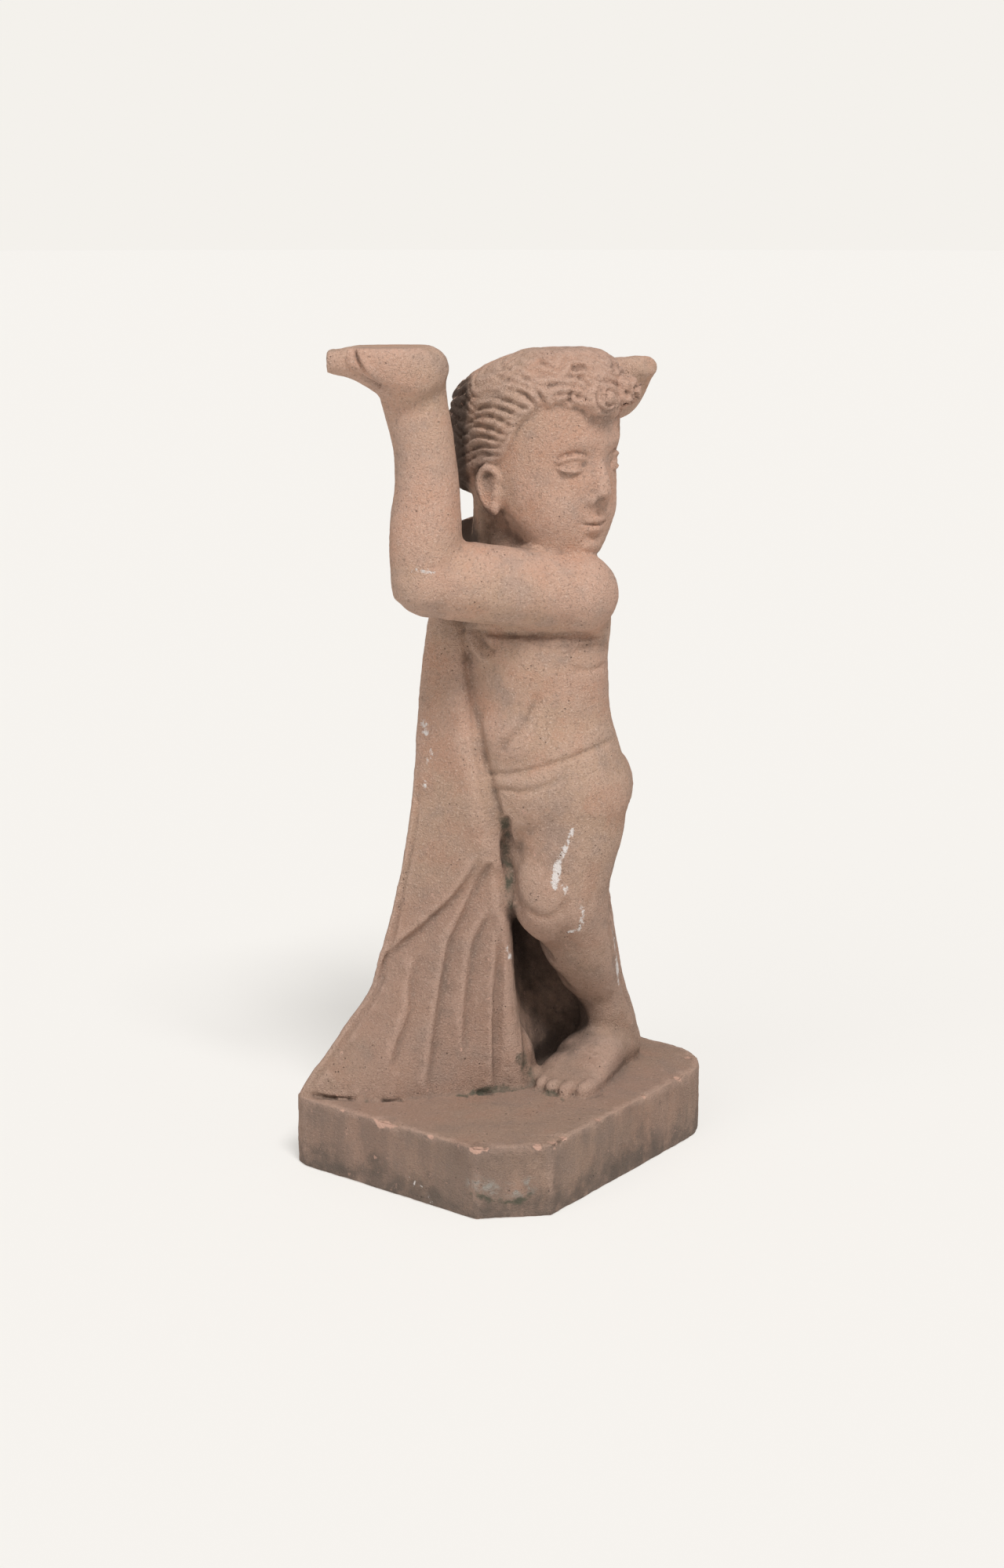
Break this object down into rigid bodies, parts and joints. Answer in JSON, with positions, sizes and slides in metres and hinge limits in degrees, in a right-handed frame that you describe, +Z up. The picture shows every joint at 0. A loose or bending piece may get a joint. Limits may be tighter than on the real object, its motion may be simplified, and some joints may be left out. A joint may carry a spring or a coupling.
{
  "type": "putto statue",
  "caption": "Carved sandstone putto on a cornered plinth, cloth falling at its back, both palms raised beside a flat crown as a support.",
  "frame": {"origin": "centre of the plinth's outline, on its underside", "axes": "+Z up, -Y out of the plinth's short front side, towards which the standing foot points, +X to the figure's left, towards which its face looks"},
  "size_m": [0.256, 0.317, 0.7239],
  "materials": {
    "sandstone": "rough, weathered, unpolished"
  },
  "bodies": {
    "root": {"statue": "sandstone"}
  },
  "joints": []
}
